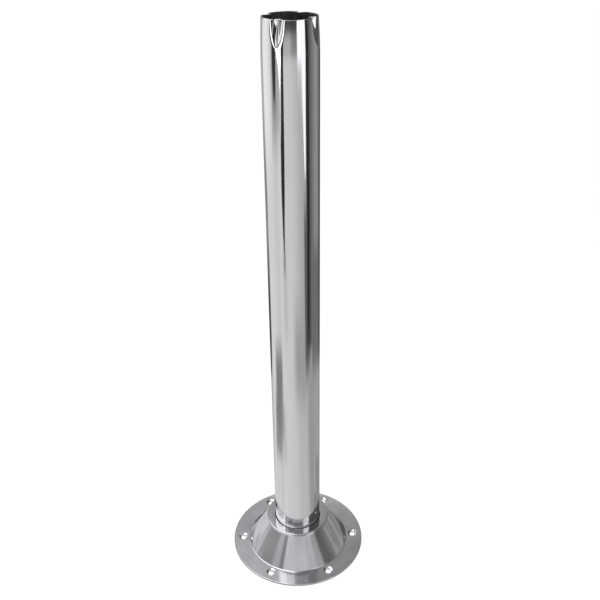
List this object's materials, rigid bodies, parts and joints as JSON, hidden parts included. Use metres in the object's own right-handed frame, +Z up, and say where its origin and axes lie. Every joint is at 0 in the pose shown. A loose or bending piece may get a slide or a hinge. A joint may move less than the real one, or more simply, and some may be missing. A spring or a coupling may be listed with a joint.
{
  "type": "pedestal table leg",
  "caption": "Removable chromed pedestal table leg with crimped, tapered ends, standing in the socket of a low conical screw-down floor base.",
  "frame": {"origin": "on the leg's axis, on the floor, under the middle of the base", "axes": "+Z up along the leg; one of the six screw holes lies on +X"},
  "size_m": [0.1684, 0.1684, 0.6595],
  "materials": {
    "base_aluminium": "polished aluminium with fine turning marks",
    "sleeve_metal": "polished, with a worn lip",
    "leg_chrome": "bright chrome outside, dark bare steel inside"
  },
  "bodies": {
    "base": {"base_flange": "base_aluminium", "socket_sleeve": "sleeve_metal"},
    "leg": {"leg_tube": "leg_chrome"}
  },
  "joints": [
    {"name": "leg_lift", "type": "slide", "parent": "base", "child": "leg", "axis": [0, 0, 1], "range_m": [0, 0.05]}
  ]
}
